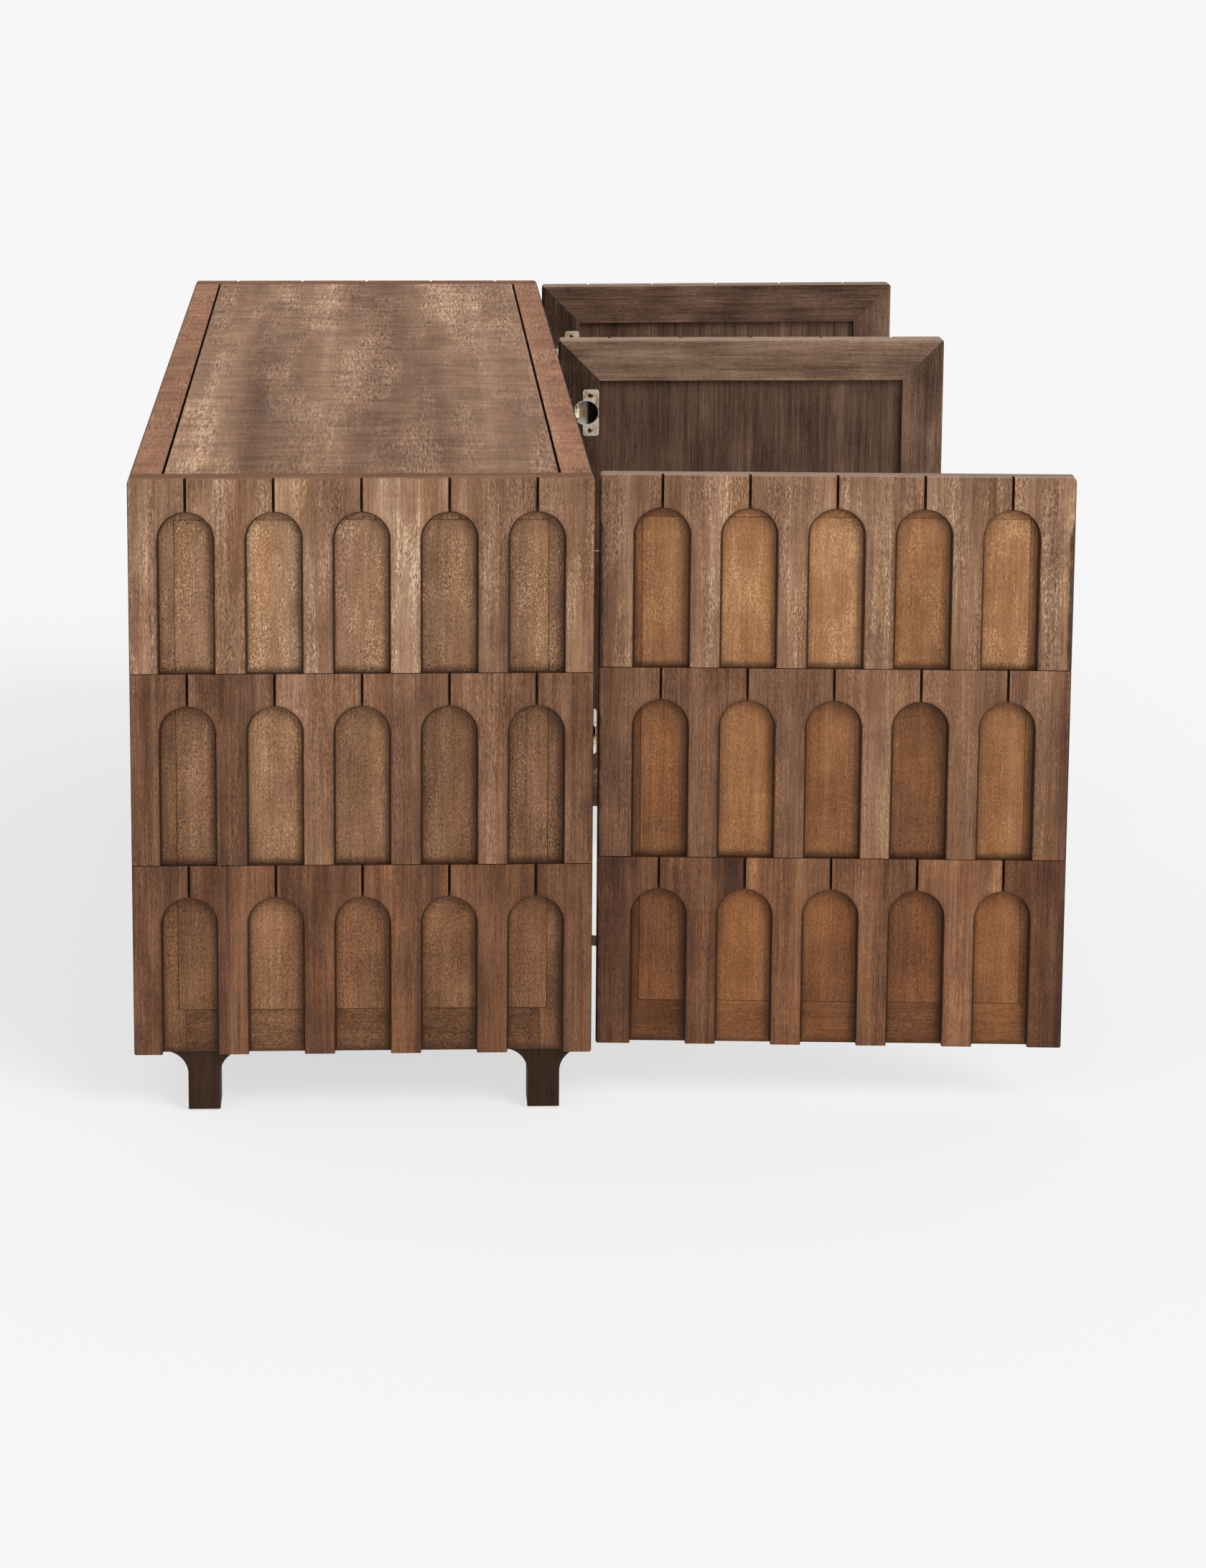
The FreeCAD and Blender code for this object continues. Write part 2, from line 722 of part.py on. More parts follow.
def build():
    """Every sub-part by name, as lists of solids, before the last move."""
    nodes = {}
    core, tongue = top_board_parts()
    backs = back_bounds()
    tongue_cut = grown(tongue, joint_clearance)
    back_cut = grown((backs[0][0], *backs[0][1:3], backs[1][3], *backs[0][4:6]), joint_clearance)
    bottom_cut = grown(bottom_board_bounds(), joint_clearance)
    places = leg_places()

    for name, place in (("near", place_near_end), ("far", place_far_end)):
        for piece, solids in end_pieces().items():
            placed = [place(s) for s in solids]
            if piece in ("stiles", "rails"):
                placed = [s.cut(tongue_cut).cut(back_cut) for s in placed]
            nodes[f"{name}_end_{piece}"] = placed

    nodes["top_board"] = [fuse([core, box(*tongue)])]
    nodes["top_rails"] = [r.cut(tongue_cut).cut(back_cut) for r in top_rails()]
    nodes["top_cleats"] = top_cleats()
    rails = [r.cut(bottom_cut).cut(back_cut) for r in bottom_rails()]
    for place in places.values():
        hole = bolt_hole(place)
        rails = [r.cut(hole) for r in rails]
    nodes["bottom_rails"] = rails
    nodes["bottom_board"] = [bottom_board()]
    nodes["back_boards"] = [box(*bounds) for bounds in backs]
    nodes["divider"] = [divider()]
    nodes["near_hinge_post"] = [end_post()]
    nodes["middle_hinge_post"] = [middle_post()]
    nodes["far_hinge_post"] = [at_hinge(end_post(), 3)]
    for name, shelf in zip(("wide_shelf", "narrow_shelf"), shelves()):
        nodes[name] = [shelf]
    nodes["shelf_cleats"] = shelf_cleats()
    for name, place in places.items():
        nodes["leg_" + name] = [leg(*place).cut(bolt_hole(place))]
    nodes["leg_bolts"] = [leg_bolt(place) for place in places.values()]
    nodes["glides"] = [upright(glide_radius, *leg_centre(place), 0, glide_height) for place in places.values()]
    nodes["door_bumpers"] = bumpers()

    pieces = door_pieces()
    for number, angle in enumerate(rest_angles, 1):
        for piece, solids in pieces.items():
            shut = [moved(s, door_origin.x, door_origin.y, 0) for s in solids]
            nodes[f"door_{number}_{piece}"] = [at_hinge(open_door(s, angle), number) for s in shut]
        arms = [turned(swing_arm(level), -link_share * angle, fixed_pin) for level in hinge_levels()]
        nodes[f"door_{number}_hinge_arms"] = [at_hinge(arm, number) for arm in arms]
        nodes[f"hinge_plates_{number}"] = [at_hinge(fixed_arm(level), number) for level in hinge_levels()]
    return nodes


def main():
    nodes = build()
    everything = Part.makeCompound([s for solids in nodes.values() for s in solids])
    bounds = everything.optimalBoundingBox(False)
    shift = Vector(-(bounds.XMin + bounds.XMax) / 2, -(bounds.YMin + bounds.YMax) / 2, 0)
    os.makedirs("parts", exist_ok=True)
    for name, solids in nodes.items():
        shape = solids[0] if len(solids) == 1 else Part.makeCompound(solids)
        shape = shape.copy()
        shape.translate(shift)
        shape.exportStep(f"parts/{name}.step")
    print("nodes", len(nodes), "solids", sum(len(s) for s in nodes.values()))
    print("size", round(bounds.XLength, 3), round(bounds.YLength, 3), round(bounds.ZLength, 3))
    print("shift", round(shift.x, 4), round(shift.y, 4))
    for number, angle in enumerate(rest_angles, 1):
        for label, point in (("fixed pin", fixed_pin), ("door pin", door_pin_at(angle))):
            at = point_at_hinge(point, number) + shift
            print("door", number, label, round(at.x, 4), round(at.y, 4))
        for label, share in (("arm", link_share), ("leaf on arm", 1 - link_share)):
            turns = sorted((-angle * share, (widest_angle - angle) * share))
            print("door", number, label, "turns", [round(turn, 3) for turn in turns])


main()
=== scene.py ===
import json
import math
import bmesh
import bpy
from mathutils import Matrix, Vector


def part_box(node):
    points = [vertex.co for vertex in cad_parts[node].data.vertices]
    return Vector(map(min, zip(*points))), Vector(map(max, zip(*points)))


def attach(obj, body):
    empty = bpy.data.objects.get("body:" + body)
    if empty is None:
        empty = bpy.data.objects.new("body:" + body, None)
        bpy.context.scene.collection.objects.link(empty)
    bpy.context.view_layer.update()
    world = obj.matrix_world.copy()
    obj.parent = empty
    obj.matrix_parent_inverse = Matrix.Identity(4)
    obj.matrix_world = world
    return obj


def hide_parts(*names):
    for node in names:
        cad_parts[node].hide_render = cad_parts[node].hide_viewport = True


# Sideboard with carved arch tiles, its three doors standing open. Metres throughout, in the frame of the part.

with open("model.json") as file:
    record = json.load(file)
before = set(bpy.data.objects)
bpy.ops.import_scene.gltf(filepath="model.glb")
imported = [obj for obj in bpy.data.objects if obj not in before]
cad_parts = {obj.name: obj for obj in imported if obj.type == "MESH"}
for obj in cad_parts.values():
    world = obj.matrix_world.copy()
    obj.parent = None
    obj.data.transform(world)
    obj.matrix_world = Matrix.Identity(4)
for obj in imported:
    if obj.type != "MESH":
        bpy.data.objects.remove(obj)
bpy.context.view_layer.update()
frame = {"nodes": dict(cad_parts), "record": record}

# Camera
camera_place = (-4.8530, 0.2444, 1.5084)
camera_turn = math.radians(-1.96)
camera_tilt = math.radians(9.57)
camera_roll = math.radians(0.21)
camera_focal_pixels = 5257
image_long_side = 2185
sensor = 36
camera_shift = (0.06, -0.25)

# Light. The shares add up to about one on a level surface.
background_grey = 0.905
sky_strength = 0.50
floor_grey = 0.96
shadow_share = 0.27
suns = {
    "key": ((-0.55, -0.52, 0.66), 0.36, 32),
    "left_fill": ((-0.60, 0.62, 0.50), 0.08, 60),
    "right_rear": ((0.70, -0.45, 0.55), 0.05, 60),
    "left_rear": ((0.55, 0.65, 0.50), 0.05, 60),
}

# Edges
arch_ease = 0.0014
tile_ease = 0.0004
frame_ease = 0.0008
leg_ease = 0.0010
metal_ease = 0.0003
ease_steps = 3
tile_unevenness = 0.0003

# Screws
screw_radius = 0.0036
screw_height = 0.0016
screw_sides = 20
cross_length_share = 0.55
cross_width_share = 0.14
flange_screw_spread = 0.024
plate_screw_spread = 0.018
plate_middle = 0.024

bodies = frame["record"]["behaviour"]["bodies"]
body_of = {node: body for body, nodes in bodies.items() for node in nodes}
slot_of = {entry["node"]: entry["material_slot"] for entry in frame["record"]["subparts"]}
rows = ("top", "middle", "bottom")
panels = ("near_end", "far_end", "door_1", "door_2", "door_3")
up = Vector((0, 0, 1))


def chance(*numbers):
    """A steady value from 0 to 1 for the numbers given."""
    total = sum(n * f for n, f in zip(numbers, (12.9898, 78.233, 37.719, 4.581)))
    value = math.sin(total + 1) * 43758.5453
    return value - math.floor(value)


# Carved panels: where each one's edge, face and arches are

class Panel:
    """Axes of a carved panel, read from its nodes. Seen from outside, along runs to the right."""

    def __init__(self, name):
        self.name = name
        self.index = panels.index(name)
        self.is_door = name.startswith("door")
        board = frame["nodes"][f"{name}_board"].data
        tiles = [frame["nodes"][f"{name}_tiles_{row}"].data for row in rows]
        face = max((p for p in board.polygons if abs(p.normal.z) < 0.1), key=lambda p: p.area)
        outward = Vector((face.normal.x, face.normal.y, 0)).normalized()
        points = [v.co for mesh in tiles for v in mesh.vertices]
        tile_middle = sum((p.dot(outward) for p in points)) / len(points)
        board_middle = sum((v.co.dot(outward) for v in board.vertices)) / len(board.vertices)
        self.out = outward if tile_middle > board_middle else -outward
        self.along = up.cross(self.out)
        self.left = min(p.dot(self.along) for p in points)
        self.right = max(p.dot(self.along) for p in points)
        self.face = max(p.dot(self.out) for p in points)
        self.base = min(p.z for p in points)
        self.height = max(p.z for p in points) - self.base
        self.tile_depth = self.face - min(p.dot(self.out) for p in points)
        stiles = frame["nodes"][f"{name}_stiles"].data
        self.thickness = self.face - min(v.co.dot(self.out) for v in stiles.vertices)
        self.row = self.height / len(rows)
        low = [p.dot(self.along) - self.left for p in points if p.z < self.base + 0.0001]
        marks = sorted(set(round(x, 4) for x in low))
        widest = max(b - a for a, b in zip(marks, marks[1:]))
        self.arches = [(a + b) / 2 for a, b in zip(marks, marks[1:]) if b - a > 0.99 * widest]
        self.radius = widest / 2
        self.pitch = self.arches[1] - self.arches[0]
        middle = self.left + self.arches[0]
        self.crown = min(p.z for p in points if abs(p.dot(self.along) - middle) < self.radius / 10) - self.base
        self.spring = self.crown - self.radius

    def place(self, point):
        """Along from the first arch, height in rows, and depth behind the carved face."""
        along = point.dot(self.along) - self.left - self.arches[0]
        return Vector((along, (point.z - self.base) / self.row, self.face - point.dot(self.out)))

    def on_arch(self, point):
        """Whether a point of a tile's edge runs along an arch, not along a slit, a joint or the rim."""
        along, height, depth = self.place(point)
        aside = abs((along / self.pitch + 0.5) % 1 - 0.5) * self.pitch
        level = height % 1 * self.row
        inside = -self.pitch / 2 < along < (len(self.arches) - 0.5) * self.pitch
        return inside and self.radius / 10 < aside < self.radius * 1.05 and 0.002 < level < self.crown + 0.001


# Pieces made from the nodes, with eased edges

def node_mesh(node):
    work = bmesh.new()
    work.from_mesh(frame["nodes"][node].data)
    bmesh.ops.remove_doubles(work, verts=work.verts, dist=1e-6)
    bmesh.ops.dissolve_limit(work, angle_limit=math.radians(1.5), verts=work.verts, edges=work.edges,
                             use_dissolve_boundaries=False)
    return work


def ease_edges(work, width, chosen=None, steps=ease_steps):
    edges = [e for e in work.edges if len(e.link_faces) == 2 and e.is_convex
             and e.calc_face_angle() > math.radians(40)
             and (chosen is None or chosen((e.verts[0].co + e.verts[1].co) / 2))]
    bmesh.ops.bevel(work, geom=edges, offset=width, offset_type="OFFSET", segments=steps,
                    profile=0.5, affect="EDGES", clamp_overlap=True)


def islands(work):
    """The separate solids of a mesh, each as a list of faces, in the same order every run."""
    work.faces.index_update()
    taken = set()
    groups = []
    for start in work.faces:
        if start.index in taken:
            continue
        taken.add(start.index)
        group = [start]
        for face in group:
            for other in (f for edge in face.edges for f in edge.link_faces):
                if other.index not in taken:
                    taken.add(other.index)
                    group.append(other)
        groups.append(group)
    return groups


def middle_of(faces):
    """To a tenth of a millimetre, so that rounding never changes what is drawn from it."""
    total = sum(f.calc_area() for f in faces)
    middle = sum((f.calc_center_median() * f.calc_area() for f in faces), Vector()) / total
    return Vector([round(c, 4) for c in middle])


def finish_piece(work, name, nodes, material):
    """Turns the worked mesh into a piece that stands for its nodes."""
    mesh = bpy.data.meshes.new(name)
    work.to_mesh(mesh)
    work.free()
    for polygon in mesh.polygons:
        polygon.use_smooth = True
    mesh.set_sharp_from_angle(angle=math.radians(32))
    piece = bpy.data.objects.new(name, mesh)
    bpy.context.scene.collection.objects.link(piece)
    weighted = piece.modifiers.new("even_shading", "WEIGHTED_NORMAL")
    weighted.keep_sharp = True
    piece.data.materials.append(material)
    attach(piece, body_of[nodes[0]])
    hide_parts(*nodes)
    return piece


def paint(work, grain, across, panel, tones):
    """Lays down what the wood is worked out from: place along and across the grain, place on the panel,
    and for each solid a tone and a shift so that no two show the same grain."""
    depth = grain.cross(across)
    grain_at = work.verts.layers.float_vector.new("grain_at")
    panel_at = work.verts.layers.float_vector.new("panel_at")
    tone_layer = work.faces.layers.float_vector.new("tone")
    shift_layer = work.faces.layers.float_vector.new("shift")
    for vert in work.verts:
        vert[grain_at] = Vector((vert.co.dot(grain), vert.co.dot(across), vert.co.dot(depth)))
        if panel:
            vert[panel_at] = panel.place(vert.co)
    for faces in islands(work):
        middle = middle_of(faces)
        tone = tones(middle)
        key = (middle.x * 7, middle.y * 5, middle.z * 3)
        shift = Vector((chance(*key), chance(*key, 2), chance(*key, 3))) * 4
        for face in faces:
            face[tone_layer] = tone
            face[shift_layer] = shift


# Tones, 0 dark and 1 pale. Some boards stand out from their row, counted from the left.
# Rows get darker towards the bottom: partly the wood's own tone and partly painted shade, with the light falling from
# above.
row_tones = {"top": 0.56, "middle": 0.43, "bottom": 0.35}
row_limes = {"top": 1.0, "middle": 0.6, "bottom": 0.3}
row_warmths = {"top": 0.1, "middle": 0.5, "bottom": 1.2}
pale_step = 0.11
dark_step = -0.08
pale_tiles = {("near_end", "top"): (3,), ("near_end", "middle"): (2,), ("door_1", "top"): (5,),
              ("door_1", "middle"): (3,), ("door_1", "bottom"): (2, 4)}
dark_tiles = {("near_end", "top"): (0, 4, 5), ("near_end", "middle"): (0, 1, 3, 5), ("near_end", "bottom"): (1, 2, 5),
              ("door_1", "top"): (0, 3, 4), ("door_1", "middle"): (0, 1), ("door_1", "bottom"): (0, 1, 5)}
pale_niches = {("near_end", "top"): (1,), ("near_end", "middle"): (1,), ("near_end", "bottom"): (1,),
               ("door_1", "top"): (1, 2, 4), ("door_1", "middle"): (1, 4), ("door_1", "bottom"): (1, 4)}
dark_niches = {("near_end", "top"): (3, 4), ("near_end", "middle"): (3, 4), ("near_end", "bottom"): (),
               ("door_1", "top"): (0,), ("door_1", "middle"): (0, 3), ("door_1", "bottom"): (0,)}


def stands_out(pale, dark, panel, row, place):
    key = (panel.name, row)
    if place in pale.get(key, ()):
        return pale_step
    return dark_step if place in dark.get(key, ()) else 0.0


def tile_tone(panel, row):
    """Tone of a tile: lightness, how limed it is and how red."""
    level = rows.index(row)

    def tone(middle):
        along = middle.dot(panel.along) - panel.left
        column = round((along - panel.arches[0]) / panel.pitch + 0.5)
        light = row_tones[row] + stands_out(pale_tiles, dark_tiles, panel, row, column)
        light += 0.05 * (chance(column, level, panel.index) - 0.5)
        warm = row_warmths[row] + 0.3 * (chance(column, panel.index, level, 5) - 0.5)
        return Vector((light, row_limes[row] * (0.4 + light), warm))
    return tone


def make_tiles(panel, material):
    for row in rows:
        node = f"{panel.name}_tiles_{row}"
        work = node_mesh(node)
        ease_edges(work, arch_ease, panel.on_arch)
        ease_edges(work, tile_ease, lambda place: not panel.on_arch(place))
        for faces in islands(work):
            middle = middle_of(faces)
            set_back = tile_unevenness * chance(middle.x * 9, middle.y * 9, middle.z * 9)
            for vert in set(v for f in faces for v in f.verts):
                if panel.face - vert.co.dot(panel.out) < 0.003:
                    vert.co -= panel.out * set_back
        paint(work, up, panel.along, panel, tile_tone(panel, row))
        finish_piece(work, f"{node}_carved", [node], material)


def even_tone(light, lime, warm, spread=0.15):
    def tone(middle):
        key = (middle.x * 11, middle.y * 13, middle.z * 17)
        return Vector((light + spread * (chance(*key) - 0.5) * 2, lime, warm + spread * (chance(*key, 1) - 0.5)))
    return tone


def rail_tone(panel, light):
    """The rail that shows at the foot of the lowest arches is darker than the one at the top."""
    low_light = 0.46 if panel.is_door else 0.24

    def tone(middle):
        return Vector((light if middle.z > panel.base + panel.row else low_light, 0.4, 0.3))
    return tone


def stile_tone(is_door):
    """The stile by a door's hinges is painted darker than the free one: painted shade near the carcass."""
    def tone(middle):
        return Vector((0.26 if is_door and middle.y > -0.15 else 0.40, 0.4, 0.4))
    return tone


def make_piece(node, grain, across, panel, material, tone, ease=frame_ease):
    work = node_mesh(node)
    if ease:
        ease_edges(work, ease)
    paint(work, grain, across, panel, tone)
    return finish_piece(work, f"{node}_wood", [node], material)


# Materials

class Shade:
    """Short calls for building a material from nodes."""

    def __init__(self, name):
        self.material = bpy.data.materials.new(name)
        self.material.use_nodes = True
        self.tree = self.material.node_tree
        self.surface = self.tree.nodes["Principled BSDF"]

    def link(self, value, socket):
        if isinstance(value, bpy.types.NodeSocket):
            self.tree.links.new(value, socket)
        else:
            socket.default_value = value

    def attribute(self, name):
        node = self.tree.nodes.new("ShaderNodeAttribute")
        node.attribute_name = name
        return node.outputs["Vector"]

    def parts(self, vector):
        node = self.tree.nodes.new("ShaderNodeSeparateXYZ")
        self.link(vector, node.inputs[0])
        return node.outputs

    def math(self, operation, a, b=0.0, c=0.0, clamp=False):
        node = self.tree.nodes.new("ShaderNodeMath")
        node.operation = operation
        node.use_clamp = clamp
        for value, socket in zip((a, b, c), node.inputs):
            self.link(value, socket)
        return node.outputs[0]

    def vector(self, operation, a, b):
        node = self.tree.nodes.new("ShaderNodeVectorMath")
        node.operation = operation
        self.link(a, node.inputs[0])
        self.link(b, node.inputs[1])
        return node.outputs[0]

    def noise(self, at, per_metre, detail=2.0, roughness=0.5, twist=0.0):
        """Noise from 0 to 1. per_metre is how many features lie in a metre, each way."""
        node = self.tree.nodes.new("ShaderNodeTexNoise")
        self.link(self.vector("MULTIPLY", at, per_metre), node.inputs["Vector"])
        node.inputs["Scale"].default_value = 1
        node.inputs["Detail"].default_value = detail
        node.inputs["Roughness"].default_value = roughness
        node.inputs["Distortion"].default_value = twist
        return node.outputs["Fac"]

    def stave(self, at, width):
        """A steady value for each stave of a glued-up board, from 0 to 1."""
        across, depth = self.parts(at)[1:3]
        node = self.tree.nodes.new("ShaderNodeTexWhiteNoise")
        node.noise_dimensions = "1D"
        self.link(self.math("FLOOR", self.math("DIVIDE", across, width)), node.inputs["W"])
        return node.outputs["Value"]

    def step(self, value, low, high):
        """Smooth rise from 0 at low to 1 at high."""
        node = self.tree.nodes.new("ShaderNodeMapRange")
        node.interpolation_type = "SMOOTHSTEP"
        self.link(value, node.inputs["Value"])
        node.inputs["From Min"].default_value = low
        node.inputs["From Max"].default_value = high
        return node.outputs["Result"]

    def blend(self, share, a, b, way="MIX"):
        node = self.tree.nodes.new("ShaderNodeMix")
        node.data_type = "RGBA"
        node.blend_type = way
        self.link(share, node.inputs["Factor"])
        self.link(a, node.inputs["A"])
        self.link(b, node.inputs["B"])
        return node.outputs["Result"]

    def total(self, start, *terms):
        """start plus each value's distance from a half, times its amount."""
        for value, amount in terms:
            start = self.math("MULTIPLY_ADD", self.math("SUBTRACT", value, 0.5), amount, start)
        return start

    def ramp(self, value, stops, way="LINEAR"):
        node = self.tree.nodes.new("ShaderNodeValToRGB")
        self.link(value, node.inputs["Fac"])
        ramp = node.color_ramp
        ramp.interpolation = way
        while len(ramp.elements) < len(stops):
            ramp.elements.new(0.5)
        for element, (place, colour) in zip(ramp.elements, stops):
            element.position = place
            element.color = colour
        return node.outputs["Color"]

    def bump(self, height, strength, distance):
        node = self.tree.nodes.new("ShaderNodeBump")
        self.link(height, node.inputs["Height"])
        node.inputs["Strength"].default_value = strength
        node.inputs["Distance"].default_value = distance
        self.link(node.outputs["Normal"], self.surface.inputs["Normal"])


def seen(red, green, blue):
    """A colour as it looks on screen, 0 to 255, for a shader."""
    def one(level):
        share = level / 255
        return share / 12.92 if share <= 0.04045 else ((share + 0.055) / 1.055) ** 2.4
    return (one(red), one(green), one(blue), 1)


# Dark brown of pores and glaze, and of the painted shade in the recesses around the arches.
glaze_and_shade_colour = seen(52, 31, 20)


ramp_places = (0.0, 0.25, 0.5, 0.75, 1.0)


def figure(shade, look, tone=None, own_share=1.0):
    """Colour, bump height and roughness of a plain wood surface. The tone is a piece's own, or is added to it."""
    at = shade.vector("ADD", shade.attribute("grain_at"), shade.attribute("shift"))
    own_light, lime, warm = shade.parts(shade.attribute("tone"))
    light = 0.5
    if tone:
        light, lime, warm = tone
    stave = shade.stave(at, look["stave_width"])
    band = shade.noise(at, look["band_size"], 3, 0.55, 0.3)
    fibre = shade.noise(at, (8, 330, 110), 4, 0.6)
    hair = shade.noise(at, (30, 1100, 420), 2, 0.5)
    cloud = shade.noise(at, (13, 22, 14), 3, 0.5)
    ripple = shade.noise(at, look["ripple_size"], 3, 0.55)
    speck = shade.noise(at, look["speck_size"], 2, 0.65, 0.7)
    patch = shade.step(shade.noise(at, look["patch_size"], 3, 0.6, 0.5), 0.44, 0.60)
    patch = shade.math("MULTIPLY", patch, lime, clamp=True)
    value = shade.total(0.5, (stave, look["stave"]), (band, look["band"]), (fibre, look["fibre"]),
                        (hair, look["hair"]), (cloud, look["cloud"]), (ripple, look["ripple"]),
                        (own_light, own_share), (light, 1.0))
    amount = shade.math("MULTIPLY_ADD", patch, look["speckle"], look["speck"])
    value = shade.math("MULTIPLY_ADD", shade.math("SUBTRACT", speck, 0.5), amount, value)
    value = shade.math("MULTIPLY_ADD", patch, look["lift"], value)
    colour = shade.ramp(value, list(zip(ramp_places, look["colours"])))
    redder = shade.blend(1.0, colour, (1.08, 0.92, 0.76, 1), "MULTIPLY")
    colour = shade.blend(shade.math("MULTIPLY", warm, look["warm"], clamp=True), colour, redder)
    gold = shade.step(shade.noise(at, (4, 26, 12), 2, 0.5), 0.48, 0.64)
    colour = shade.blend(shade.math("MULTIPLY", gold, look["gold"]), colour,
                         shade.blend(1.0, colour, (1.07, 0.98, 0.80, 1), "MULTIPLY"))
    pore = shade.step(shade.noise(at, look["pore_size"], 1, 0.5), look["pore_from"], look["pore_from"] + 0.06)
    pore = shade.math("MULTIPLY", pore, shade.math("MULTIPLY_ADD", patch, look["pore"], 0.2), clamp=True)
    colour = shade.blend(pore, colour, glaze_and_shade_colour)
    height = shade.total(0.5, (fibre, 0.4), (hair, 0.4), (speck, 0.9))
    height = shade.math("MULTIPLY_ADD", pore, -0.8, height)
    rough = shade.total(look["rough"], (fibre, 0.15), (cloud, 0.1))
    return colour, height, rough


tile_look = {"colours": (seen(48, 29, 19), seen(88, 59, 42), seen(126, 91, 68), seen(162, 127, 99),
                         seen(214, 184, 154)),
             "stave": 0.15, "stave_width": 0.026, "band": 0.6, "band_size": (2.2, 44, 24), "fibre": 0.45, "hair": 0.4,
             "cloud": 0.4, "ripple": 0.1, "ripple_size": (105, 14, 14), "speck": 0.45, "speckle": 1.1, "lift": 0.07,
             "speck_size": (210, 760, 420), "patch_size": (5, 44, 20), "warm": 0.7, "gold": 0.5,
             "pore_size": (190, 900, 400), "pore": 0.5, "pore_from": 0.67, "rough": 0.55, "gloss": 0.22}
niche_look = dict(tile_look, colours=(seen(58, 36, 24), seen(96, 67, 47), seen(134, 99, 73), seen(170, 132, 101),
                                      seen(214, 180, 146)),
                  stave=0.06, stave_width=0.041, band=0.3, fibre=0.25, hair=0.3, cloud=0.45, speck=0.8, speckle=1.0,
                  speck_size=(360, 560, 400), patch_size=(14, 40, 20), gold=0.45, warm=0.5)
door_niche_look = dict(niche_look, colours=(seen(56, 32, 18), seen(94, 60, 37), seen(131, 89, 58), seen(163, 117, 80),
                                            seen(206, 160, 118)),
                       speck=0.65, speckle=0.5)
inside_look = dict(tile_look, colours=(seen(48, 34, 26), seen(76, 56, 44), seen(106, 80, 64), seen(134, 106, 88),
                                       seen(160, 134, 114)),
                   stave=0.08, stave_width=0.030, band=0.5, fibre=0.7, hair=0.7, cloud=0.4, speck=0.4, speckle=0.5,
                   lift=0.03, warm=0.3, gold=0.2, rough=0.6, gloss=0.15)
door_frame_look = dict(inside_look, stave=0.05, band=0.8, hair=0.6, cloud=0.8, speck=0.6, speckle=0.9, lift=0.05)
board_look = dict(inside_look, colours=(seen(36, 25, 19), seen(58, 42, 33), seen(84, 62, 49), seen(106, 82, 66),
                                        seen(130, 106, 88)),
                  stave=0.14, stave_width=0.0055, band=0.6, fibre=0.9, hair=0.8, cloud=0.6)
top_look = dict(tile_look, colours=(seen(62, 39, 26), seen(100, 71, 52), seen(132, 99, 77), seen(164, 128, 101),
                                    seen(208, 174, 144)),
                stave=0.10, stave_width=0.060, band=1.25, band_size=(0.5, 11, 6), fibre=0.25, hair=0.2, cloud=0.4,
                ripple=0.55, ripple_size=(50, 14, 8), speck=0.35, speckle=1.9, lift=0.24, speck_size=(40, 380, 300),
                patch_size=(1.1, 12, 8), warm=0.35, gold=0.3, pore_size=(28, 440, 300), pore=0.8, pore_from=0.61,
                rough=0.62, gloss=0.06)
rail_look = dict(top_look, colours=(seen(64, 38, 25), seen(104, 70, 51), seen(137, 97, 73), seen(167, 124, 96),
                                    seen(206, 166, 134)),
                 band=0.5, speck=0.6, speckle=0.9, lift=0.05, warm=0.5, speck_size=(46, 340, 300),
                 patch_size=(6, 24, 12), pore=0.6)
leg_look = dict(tile_look, colours=(seen(24, 14, 9), seen(37, 23, 15), seen(51, 33, 22), seen(67, 45, 32),
                                    seen(88, 63, 46)),
                stave=0.02, band=0.4, fibre=0.6, hair=0.5, cloud=0.4, warm=0.2, speckle=0.4, gloss=0.12)


def end_grain(shade, colour, darker=0.72):
    """Darkens faces cut across an upright grain."""
    node = shade.tree.nodes.new("ShaderNodeTexCoord")
    level = shade.math("ABSOLUTE", shade.parts(node.outputs["Normal"])[2])
    share = shade.step(level, 0.75, 0.95)
    return shade.blend(share, colour, shade.blend(1.0, colour, (darker, darker, darker * 0.92, 1), "MULTIPLY"))


def put_on(shade, colour, height, rough, gloss, bump=0.35):
    shade.link(colour, shade.surface.inputs["Base Color"])
    shade.link(rough, shade.surface.inputs["Roughness"])
    shade.link(gloss, shade.surface.inputs["Specular IOR Level"])
    shade.bump(height, bump, 0.0004)
    return shade.material


# How much of the pale painted sheen covers the upward faces along a panel's top.
crest_sheen_share = 0.5


def crest(shade, height):
    """1 on the upward faces along the very top of a panel, where a pale painted sheen takes the place of gloss."""
    node = shade.tree.nodes.new("ShaderNodeTexCoord")
    upward = shade.step(shade.parts(node.outputs["Normal"])[2], 0.6, 0.9)
    return shade.math("MULTIPLY", upward, shade.step(height, len(rows) - 0.012, len(rows) - 0.008))


def arch_place(shade, panel, along, height):
    """How far to the right of the nearest arch's middle a point is, how high in its row, and how far inside the
    arch's edge."""
    turns = shade.math("ADD", shade.math("DIVIDE", along, panel.pitch), 0.5)
    aside = shade.math("MULTIPLY", shade.math("SUBTRACT", shade.math("FRACT", turns), 0.5), panel.pitch)
    level = shade.math("MULTIPLY", shade.math("FRACT", height), panel.row)
    above = shade.math("MAXIMUM", shade.math("SUBTRACT", level, panel.spring), 0.0)
    reach = shade.math("SQRT", shade.math("ADD", shade.math("MULTIPLY", aside, aside),
                                          shade.math("MULTIPLY", above, above)))
    return aside, level, shade.math("SUBTRACT", panel.radius, reach)


